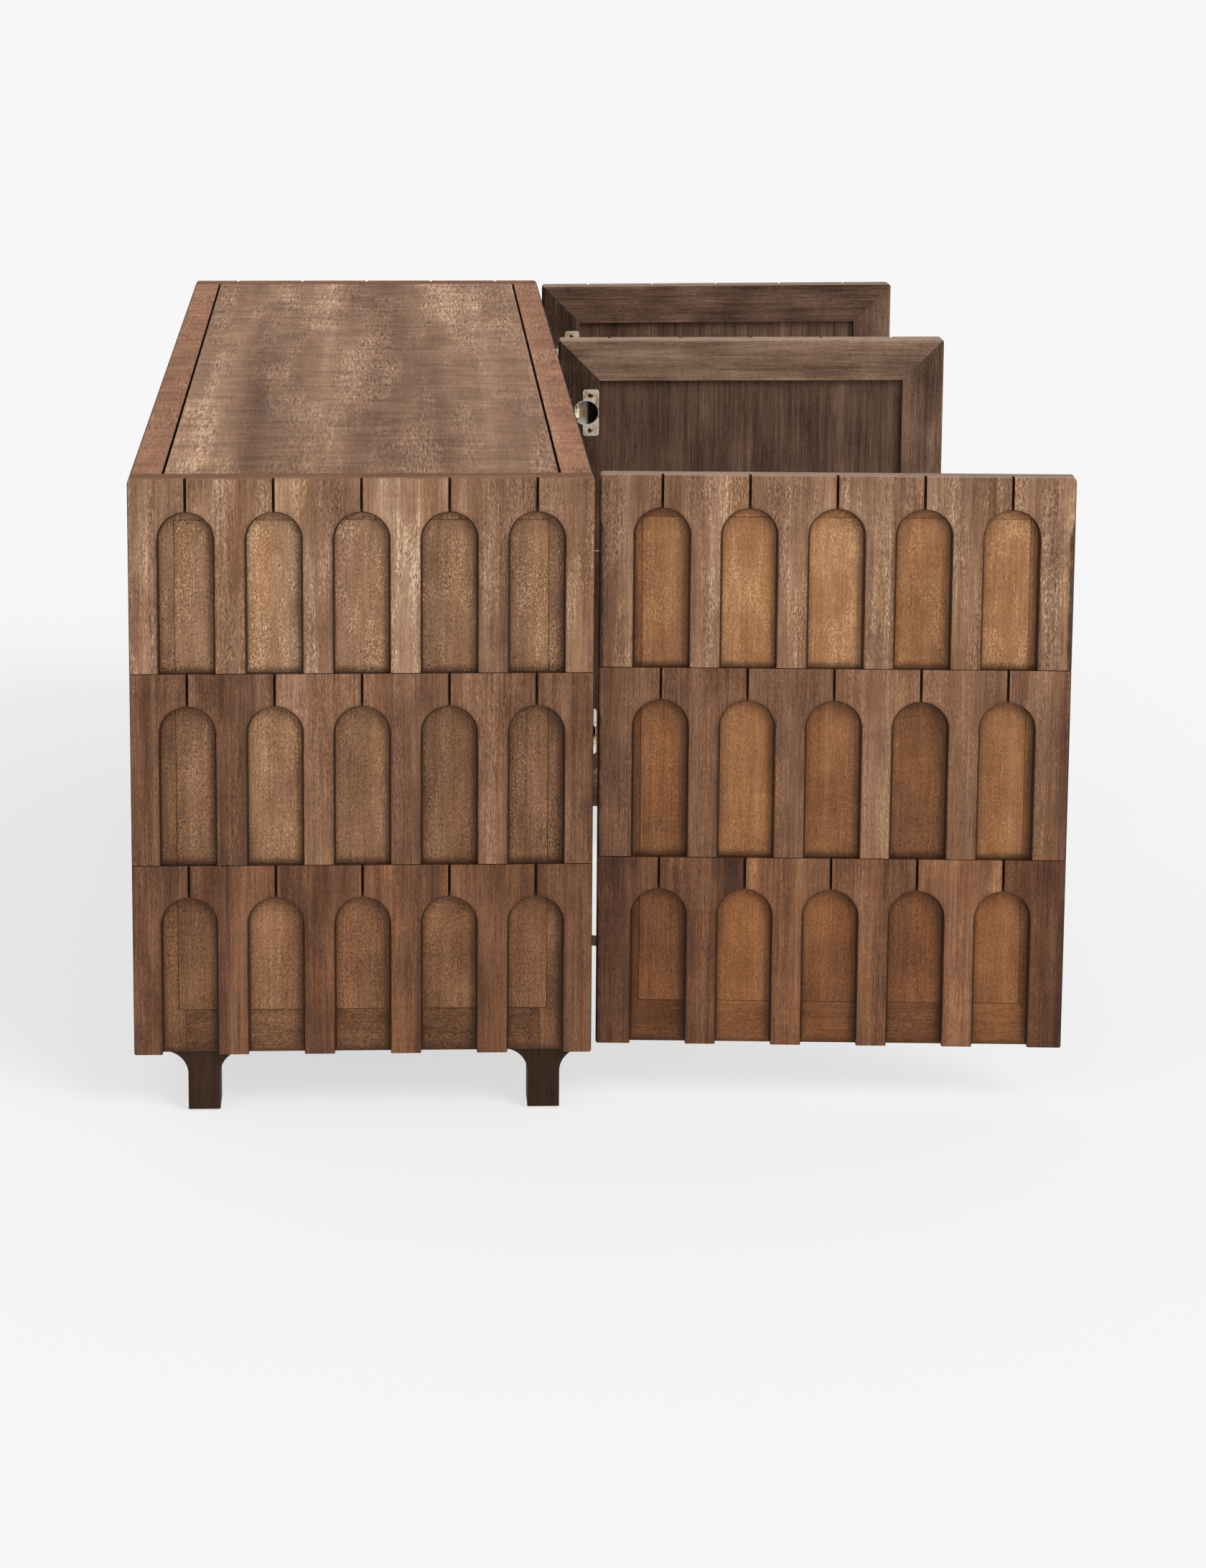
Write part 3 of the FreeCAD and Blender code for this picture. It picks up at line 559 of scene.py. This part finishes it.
def tile_material(name, look, panel, crest_sheen_colour):
    """Carved tiles: the walls behind the face and the edges along the arches darken, partly with glaze and partly
    with painted shade.
    """
    shade = Shade(name)
    colour, height, rough = figure(shade, look)
    along, level, depth = shade.parts(shade.attribute("panel_at"))
    inside = arch_place(shade, panel, along, level)[2]
    uneven = shade.math("MULTIPLY", shade.noise(shade.attribute("grain_at"), (60, 60, 60), 2), 0.001)
    top = crest(shade, level)
    lower = shade.math("SUBTRACT", 1.0, top)
    # Glaze with painted shade: the walls behind the carved face go dark, and so does an arch's rounded edge.
    near_arch = shade.math("MULTIPLY", shade.step(inside, -0.0035, 0.0), 0.0010)
    behind = shade.step(shade.math("ADD", shade.math("ADD", depth, uneven), near_arch), 0.0012, 0.0020)
    glaze_and_shade = shade.math("MULTIPLY", shade.math("MULTIPLY", behind, 0.9), lower)
    # The face is a little darker along each arch's edge.
    soft = shade.math("MULTIPLY", shade.step(inside, -0.006, 0.0), 0.22)
    glaze_and_shade = shade.math("MAXIMUM", glaze_and_shade, shade.math("MULTIPLY", soft, lower))
    # Pale painted sheen on the upward faces along the top, which get no gloss.
    colour = shade.blend(top, colour, shade.blend(crest_sheen_share, colour, crest_sheen_colour))
    colour = shade.blend(glaze_and_shade, colour, glaze_and_shade_colour)
    return put_on(shade, colour, height, rough, shade.math("MULTIPLY", lower, look["gloss"]))


def niche_shade(shade, panel, along, height):
    """How dark the backing is near the edge of an arch: a thin line and a soft rim all round and a band at the foot,
    partly glaze and partly painted shade, and a broad painted shadow at the right."""
    aside, level, inside = arch_place(shade, panel, along, height)
    uneven = shade.noise(shade.attribute("grain_at"), (70, 70, 70), 3)
    uneven = shade.math("MULTIPLY", shade.math("SUBTRACT", uneven, 0.5), 0.004)
    edge = shade.math("ADD", inside, uneven)
    # A thin line and a soft rim all round each arch: glaze with painted shade.
    thin = shade.math("SUBTRACT", 1.0, shade.step(inside, 0.0014, 0.0028))
    soft = shade.math("SUBTRACT", 1.0, shade.step(edge, 0.0, 0.007))
    # Painted shadow: broad at the right of each niche, as the right wall would cast it in light from the right.
    to_right = shade.step(aside, -0.010, 0.020)
    right_shadow = shade.math("MULTIPLY", shade.math("SUBTRACT", 1.0, shade.step(edge, 0.001, 0.012)), to_right)
    # At the foot of each niche, above the ledge of the row below: glaze with painted shade.
    foot = shade.math("SUBTRACT", 1.0, shade.step(shade.math("ADD", level, uneven), 0.001, 0.009))
    shades = ((thin, 0.90), (soft, 0.30), (right_shadow, 0.50), (foot, 0.60))
    total = 0.0
    for share, amount in shades:
        total = shade.math("MAXIMUM", total, shade.math("MULTIPLY", share, amount))
    return total


def by_niche(shade, along, height, panel, value_of):
    """A value for each niche: value_of says it for a row and a place in the row."""
    count = len(panel.arches)
    share = shade.math("DIVIDE", shade.math("ADD", shade.math("DIVIDE", along, panel.pitch), 0.5), count)
    result = (0, 0, 0, 1)
    for index, row in enumerate(reversed(rows)):
        values = [value_of(row, place) for place in range(count)]
        stops = [(place / count, (value, value, value, 1)) for place, value in enumerate(values)]
        above = shade.math("GREATER_THAN", height, index - 0.5 / len(rows))
        result = shade.blend(above, result, shade.ramp(share, stops, "CONSTANT"))
    return result


def backing_material(name, panel, inner_look, crest_sheen_colour):
    """Frame and board behind the tiles: golden niches outside, dark at their edges with glaze and painted shade, grey
    brown inside.
    """
    shade = Shade(name)
    along, height, depth = shade.parts(shade.attribute("panel_at"))
    light = by_niche(shade, along, height, panel, lambda row, place: row_tones[row]
                     + stands_out(pale_niches, dark_niches, panel, row, place))
    lime = by_niche(shade, along, height, panel, lambda row, place: row_limes[row])
    warm = by_niche(shade, along, height, panel, lambda row, place: row_warmths[row])
    look = door_niche_look if panel.is_door else niche_look
    outer, outer_height, rough = figure(shade, look, (light, lime, warm), 0.5)
    inner = figure(shade, inner_look)[0]
    groove = shade.step(depth, panel.tile_depth + 0.0002, panel.tile_depth + 0.0006)
    # The dark joint in the groove, and glaze with painted shade at the edges of the niches.
    glaze_and_shade = shade.math("MAXIMUM", shade.math("MULTIPLY", groove, 0.8), niche_shade(shade, panel, along, height))
    outer = shade.blend(glaze_and_shade, outer, glaze_and_shade_colour)
    inside = shade.step(depth, panel.tile_depth + 0.0015, panel.tile_depth + 0.0025)
    colour = shade.blend(inside, outer, inner)
    # Pale painted sheen on the upward faces along the top, which get no gloss.
    top = crest(shade, height)
    colour = shade.blend(top, colour, shade.blend(crest_sheen_share, inner, crest_sheen_colour))
    gloss = shade.math("MULTIPLY", shade.math("SUBTRACT", 1.0, top), inner_look["gloss"])
    return put_on(shade, colour, outer_height, rough, gloss)


def plain_material(name, look):
    shade = Shade(name)
    colour, height, rough = figure(shade, look)
    colour = end_grain(shade, colour)
    return put_on(shade, colour, height, rough, look["gloss"])


def top_material(name, look):
    """The grooves between the top's pieces, and a line along its far end, are painted near black as painted shade."""
    shade = Shade(name)
    colour, height, rough = figure(shade, look)
    low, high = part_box("top_board")
    along, across, level = shade.parts(shade.attribute("grain_at"))
    # Painted shade in the gaps: the grooves between the top's pieces and a line at its far end go near black.
    below = shade.math("SUBTRACT", 1.0, shade.step(level, high[2] - 0.0011, high[2] - 0.0005))
    end_line = shade.math("MULTIPLY", shade.step(along, high[0] - 0.0060, high[0] - 0.0045), 0.75)
    gap_shade = shade.math("MULTIPLY", shade.math("MAXIMUM", below, end_line), 0.95)
    colour = shade.blend(gap_shade, colour, seen(26, 17, 12))
    return put_on(shade, colour, height, rough, look["gloss"])


def metal_material(name, colour, mottle_colour, rough, metallic=1.0, cup_mouth=None):
    """Plated metal with patches of a second colour: on the hinges a painted reflection of the wood around them.
    Down in a hinge cup, painted shade: darker inside, and near black on the side away from the arm.
    """
    shade = Shade(name)
    node = shade.tree.nodes.new("ShaderNodeTexCoord")
    smear = shade.noise(node.outputs["Object"], (180, 180, 40), 3, 0.6)
    dull = shade.noise(node.outputs["Object"], (110, 110, 90), 2)
    # Patches of the second colour; on the hinges these are a painted reflection of the wood.
    metal_colour = shade.blend(shade.step(dull, 0.45, 0.68), colour, mottle_colour)
    if cup_mouth:
        along, height, depth = shade.parts(shade.attribute("panel_at"))
        centre, side = shade.parts(shade.attribute("tone"))[:2]
        away = shade.step(shade.math("MULTIPLY", shade.math("SUBTRACT", along, centre), side), -0.002, 0.003)
        inside = shade.math("SUBTRACT", 1.0, shade.step(depth, cup_mouth - 0.0030, cup_mouth - 0.0010))
        # Painted shade down in a hinge cup: darker inside, near black on the side away from the arm.
        metal_colour = shade.blend(shade.math("MULTIPLY", inside, 0.45), metal_colour, seen(110, 84, 56))
        metal_colour = shade.blend(shade.math("MULTIPLY", inside, away), metal_colour, seen(24, 21, 19))
    shade.link(metal_colour, shade.surface.inputs["Base Color"])
    shade.link(shade.total(rough, (dull, 0.25), (smear, 0.15)), shade.surface.inputs["Roughness"])
    shade.surface.inputs["Metallic"].default_value = metallic
    shade.bump(smear, 0.05, 0.0002)
    return shade.material


# The carved panels

def make_panel(panel, materials):
    name = panel.name
    kind = "door" if panel.is_door else "end"
    make_tiles(panel, materials[f"{kind}_tiles"])
    frame_material = materials[f"{kind}_frame"]
    board_material = materials[f"{kind}_board"]
    rail_light = {"door_2": 0.66, "door_3": 0.40}.get(name, 0.42)
    board_light = 0.58 if panel.is_door else 0.48
    make_piece(f"{name}_stiles", up, panel.along, panel, frame_material, stile_tone(panel.is_door))
    make_piece(f"{name}_rails", panel.along, up, panel, frame_material, rail_tone(panel, rail_light))
    make_piece(f"{name}_board", up, panel.along, panel, board_material, even_tone(board_light, 0.5, 0.4, 0.02))


def make_carcass(materials):
    x_axis = Vector((1, 0, 0))
    y_axis = Vector((0, 1, 0))
    top = materials["top"]
    inner = materials["inner"]
    make_piece("top_board", x_axis, y_axis, None, top, even_tone(0.47, 0.6, 0.3, 0.0))
    make_piece("top_rails", x_axis, y_axis, None, materials["top_rail"], even_tone(0.56, 0.9, 0.8, 0.03))
    for node in ("bottom_board", "bottom_rails", "wide_shelf", "narrow_shelf"):
        make_piece(node, x_axis, y_axis, None, inner, even_tone(0.5, 0.4, 0.4))
    for node in ("divider", "near_hinge_post", "middle_hinge_post", "far_hinge_post"):
        make_piece(node, up, y_axis, None, inner, even_tone(0.45, 0.4, 0.4))
    make_piece("back_boards", up, x_axis, None, inner, even_tone(0.5, 0.3, 0.3))
    for node in ("shelf_cleats", "top_cleats"):
        make_piece(node, y_axis, up, None, inner, even_tone(0.5, 0.3, 0.3))
    for node in ("leg_near_front", "leg_near_back", "leg_far_front", "leg_far_back"):
        make_piece(node, up, y_axis, None, materials["leg"], even_tone(0.5, 0.4, 0.4), leg_ease)


# Hinges and other fittings

def cup_side(panel, middle):
    """Where a hinge cup's middle is along its door, and which way the door's free edge lies from it."""
    along = panel.place(middle).x
    door_middle = (panel.right - panel.left) / 2 - panel.arches[0]
    return Vector((along, 1 if along < door_middle else -1, 0))


def make_fitting(node, material, panel):
    work = node_mesh(node)
    ease_edges(work, metal_ease, steps=2)
    if panel:
        paint(work, up, panel.along, panel, lambda middle: cup_side(panel, middle))
    return finish_piece(work, f"{node}_finished", [node], material)


def screw_head():
    """A pan head with a cross recess, its axis along z and its seat at the origin."""
    head = bmesh.new()
    rim = [(0.0, 1.0), (0.45, 1.0), (0.78, 0.86), (0.96, 0.5), (1.0, 0.0), (0.0, 0.0)]
    ring = [head.verts.new((screw_radius * r, 0, screw_height * h)) for r, h in rim]
    outline = [head.edges.new(pair) for pair in zip(ring, ring[1:])]
    bmesh.ops.spin(head, geom=ring + outline, cent=(0, 0, 0), axis=(0, 0, 1), angle=math.tau, steps=screw_sides)
    bmesh.ops.remove_doubles(head, verts=head.verts, dist=1e-6)
    bmesh.ops.recalc_face_normals(head, faces=head.faces)
    cutter = bmesh.new()
    arm = screw_radius * cross_length_share
    half = screw_radius * cross_width_share
    corners = []
    for quarter in range(4):
        turn = Matrix.Rotation(quarter * math.pi / 2, 3, "Z")
        corners += [turn @ Vector((arm, -half, 0)), turn @ Vector((arm, half, 0)), turn @ Vector((half, half, 0))]
    floor = cutter.faces.new([cutter.verts.new(c + Vector((0, 0, screw_height * 0.45))) for c in corners])
    lifted = bmesh.ops.extrude_face_region(cutter, geom=[floor])["geom"]
    bmesh.ops.translate(cutter, verts=[g for g in lifted if isinstance(g, bmesh.types.BMVert)],
                        vec=(0, 0, screw_height))
    bmesh.ops.recalc_face_normals(cutter, faces=cutter.faces)
    pieces = []
    for work, name in ((head, "screw_blank"), (cutter, "screw_cross")):
        mesh = bpy.data.meshes.new(name)
        work.to_mesh(mesh)
        work.free()
        pieces.append(bpy.data.objects.new(name, mesh))
        bpy.context.scene.collection.objects.link(pieces[-1])
    blank, cross = pieces
    cut = blank.modifiers.new("cross", "BOOLEAN")
    cut.operation = "DIFFERENCE"
    cut.solver = "EXACT"
    cut.object = cross
    view = bpy.context.evaluated_depsgraph_get()
    mesh = bpy.data.meshes.new_from_object(blank.evaluated_get(view))
    for piece in pieces:
        bpy.data.objects.remove(piece)
    return mesh


def make_screws(name, head, places, towards, node, material):
    """One piece with a head at each place, seen from the side it points towards."""
    work = bmesh.new()
    turn = towards.to_track_quat("Z", "Y").to_matrix().to_4x4()
    for index, place in enumerate(places):
        copy = bmesh.new()
        copy.from_mesh(head)
        twist = Matrix.Rotation(chance(index, len(name)) * math.pi / 2, 4, "Z")
        copy.transform(Matrix.Translation(place) @ turn @ twist)
        placed = bpy.data.meshes.new(name)
        copy.to_mesh(placed)
        work.from_mesh(placed)
        copy.free()
        bpy.data.meshes.remove(placed)
    mesh = bpy.data.meshes.new(name)
    work.to_mesh(mesh)
    work.free()
    for polygon in mesh.polygons:
        polygon.use_smooth = True
    mesh.set_sharp_from_angle(angle=math.radians(40))
    mesh.materials.append(material)
    screws = bpy.data.objects.new(name, mesh)
    bpy.context.scene.collection.objects.link(screws)
    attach(screws, body_of[node])


def node_groups(node):
    """The points of each separate solid of a node."""
    work = node_mesh(node)
    groups = [[v.co.copy() for v in set(v for f in faces for v in f.verts)] for faces in islands(work)]
    work.free()
    return groups


def flange_screws(panel, head, material):
    node = f"{panel.name}_hinge_cups"
    places = []
    for points in node_groups(node):
        level = (min(p.z for p in points) + max(p.z for p in points)) / 2
        ends = [p.dot(panel.along) for p in points if abs(p.z - level) > flange_screw_spread]
        along = (min(ends) + max(ends)) / 2
        seat = min(p.dot(panel.out) for p in points)
        for side in (-1, 1):
            places.append(panel.along * along + panel.out * seat + up * (level + side * flange_screw_spread))
    make_screws(f"{panel.name}_flange_screws", head, places, -panel.out, node, material)


def plate_screws(number, head, material):
    """Two screws in each plate on a hinge post, above and below the hinge's fixed arm."""
    node = f"hinge_plates_{number}"
    towards = 1 if number == 1 else -1
    places = []
    for points in node_groups(node):
        level = (min(p.z for p in points) + max(p.z for p in points)) / 2
        back = max(p.y for p in points)
        rim = [p.x * towards for p in points if abs(p.z - level) > plate_screw_spread]
        for side in (-1, 1):
            places.append(Vector((max(rim) * towards, back - plate_middle, level + side * plate_screw_spread)))
    make_screws(f"hinge_plate_screws_{number}", head, places, Vector((towards, 0, 0)), node, material)


def make_fittings(carved, materials):
    """Hinges, bolts, glides and bumpers keep their shape and get eased edges, a finish and screws."""
    finishes = {"hinge_brass": "hinge", "bolt_steel": "steel", "dark_plastic": "plastic"}
    for node in frame["nodes"]:
        finish = finishes.get(slot_of[node])
        if node.endswith("hinge_cups"):
            make_fitting(node, materials["cup"], carved[node.replace("_hinge_cups", "")])
        elif finish:
            make_fitting(node, materials[finish], None)
    head = screw_head()
    for number in (1, 2, 3):
        flange_screws(carved[f"door_{number}"], head, materials["screw"])
        plate_screws(number, head, materials["screw"])


def plastic_material():
    shade = Shade("dark_plastic")
    node = shade.tree.nodes.new("ShaderNodeTexCoord")
    grain = shade.noise(node.outputs["Object"], (900, 900, 900), 2)
    shade.link(shade.ramp(grain, [(0.3, seen(26, 24, 23)), (0.7, seen(44, 41, 39))]),
               shade.surface.inputs["Base Color"])
    shade.surface.inputs["Roughness"].default_value = 0.6
    shade.bump(grain, 0.2, 0.0002)
    return shade.material


# Stage, light and camera

def white_where_seen(tree, shader, strength):
    """Mixes a shader with plain white light for rays that come from the camera or off a mirror."""
    path = tree.nodes.new("ShaderNodeLightPath")
    either = tree.nodes.new("ShaderNodeMath")
    either.operation = "MAXIMUM"
    tree.links.new(path.outputs["Is Camera Ray"], either.inputs[0])
    tree.links.new(path.outputs["Is Glossy Ray"], either.inputs[1])
    any_of = tree.nodes.new("ShaderNodeMath")
    any_of.operation = "MAXIMUM"
    tree.links.new(either.outputs[0], any_of.inputs[0])
    tree.links.new(path.outputs["Is Transmission Ray"], any_of.inputs[1])
    share = tree.nodes.new("ShaderNodeMath")
    share.operation = "MULTIPLY"
    share.inputs[1].default_value = strength
    tree.links.new(any_of.outputs[0], share.inputs[0])
    white = tree.nodes.new("ShaderNodeEmission" if shader.node.type != "BACKGROUND" else "ShaderNodeBackground")
    white.inputs["Color"].default_value = (background_grey, background_grey, background_grey, 1)
    mix = tree.nodes.new("ShaderNodeMixShader")
    tree.links.new(share.outputs[0], mix.inputs[0])
    tree.links.new(shader, mix.inputs[1])
    tree.links.new(white.outputs[0], mix.inputs[2])
    return mix.outputs[0]


def make_floor():
    bpy.ops.mesh.primitive_plane_add(size=160, location=(0, 0, 0))
    floor = bpy.context.object
    floor.name = "floor"
    material = bpy.data.materials.new("pale_floor")
    material.use_nodes = True
    tree = material.node_tree
    surface = tree.nodes["Principled BSDF"]
    surface.inputs["Base Color"].default_value = (floor_grey, floor_grey, floor_grey, 1)
    surface.inputs["Roughness"].default_value = 1
    surface.inputs["Specular IOR Level"].default_value = 0
    mixed = white_where_seen(tree, surface.outputs[0], 1 - shadow_share)
    tree.links.new(mixed, tree.nodes["Material Output"].inputs["Surface"])
    floor.data.materials.append(material)


def make_light():
    world = bpy.data.worlds.new("studio")
    bpy.context.scene.world = world
    world.use_nodes = True
    tree = world.node_tree
    sky = tree.nodes["Background"]
    sky.inputs["Color"].default_value = (1, 1, 1, 1)
    sky.inputs["Strength"].default_value = sky_strength
    mixed = white_where_seen(tree, sky.outputs[0], 1)
    tree.links.new(mixed, tree.nodes["World Output"].inputs["Surface"])
    for name, (towards, share, spread) in suns.items():
        lamp = bpy.data.lights.new(name, "SUN")
        direction = Vector(towards).normalized()
        lamp.energy = share * math.pi / direction.z
        lamp.angle = math.radians(spread)
        sun = bpy.data.objects.new(name, lamp)
        sun.rotation_mode = "QUATERNION"
        sun.rotation_quaternion = direction.to_track_quat("Z", "Y")
        bpy.context.scene.collection.objects.link(sun)


def make_camera():
    data = bpy.data.cameras.new("camera")
    camera = bpy.data.objects.new("camera", data)
    bpy.context.scene.collection.objects.link(camera)
    ahead = Vector((math.cos(camera_turn) * math.cos(camera_tilt), math.sin(camera_turn) * math.cos(camera_tilt),
                    -math.sin(camera_tilt)))
    right = Vector((math.sin(camera_turn), -math.cos(camera_turn), 0))
    above = right.cross(ahead)
    rolled_right = right * math.cos(camera_roll) + above * math.sin(camera_roll)
    rolled_above = above * math.cos(camera_roll) - right * math.sin(camera_roll)
    turn = Matrix((rolled_right, rolled_above, -ahead)).transposed()
    camera.matrix_world = Matrix.Translation(camera_place) @ turn.to_4x4()
    data.sensor_width = sensor
    data.lens = camera_focal_pixels * sensor / image_long_side
    data.shift_x, data.shift_y = camera_shift
    data.clip_end = 200
    bpy.context.scene.camera = camera


def main():
    carved = {name: Panel(name) for name in panels}
    end = carved["near_end"]
    door = carved["door_1"]
    # Pale painted sheen on the upward faces along the panels' tops, in place of gloss.
    end_crest_sheen = seen(144, 108, 86)
    door_crest_sheen = seen(176, 156, 141)
    nickel = seen(255, 250, 234)
    # Golden patches on the hinges' nickel: a painted reflection of the wood around them.
    nickel_wood_reflection = seen(206, 172, 120)
    materials = {
        "end_tiles": tile_material("end_tile_wood", tile_look, end, end_crest_sheen),
        "door_tiles": tile_material("door_tile_wood", tile_look, door, door_crest_sheen),
        "end_frame": backing_material("end_frame_wood", end, inside_look, end_crest_sheen),
        "end_board": backing_material("end_board_wood", end, inside_look, end_crest_sheen),
        "door_frame": backing_material("door_frame_wood", door, door_frame_look, door_crest_sheen),
        "door_board": backing_material("door_board_wood", door, board_look, door_crest_sheen),
        "top": top_material("top_wood", top_look),
        "top_rail": top_material("top_rail_wood", rail_look),
        "inner": plain_material("inner_wood", inside_look),
        "leg": plain_material("leg_wood", leg_look),
        "hinge": metal_material("hinge_nickel", nickel, nickel_wood_reflection, 0.34, 0.5),
        "cup": metal_material("cup_nickel", nickel, nickel_wood_reflection, 0.34, 0.5, door.thickness),
        "screw": metal_material("screw_brass", seen(176, 134, 84), seen(96, 62, 38), 0.30),
        "steel": metal_material("bolt_steel", seen(190, 190, 188), seen(150, 148, 144), 0.38),
        "plastic": plastic_material(),
    }
    for panel in carved.values():
        make_panel(panel, materials)
    make_carcass(materials)
    make_fittings(carved, materials)
    make_floor()
    make_light()
    make_camera()
    bpy.context.scene.view_settings.view_transform = "Standard"


main()
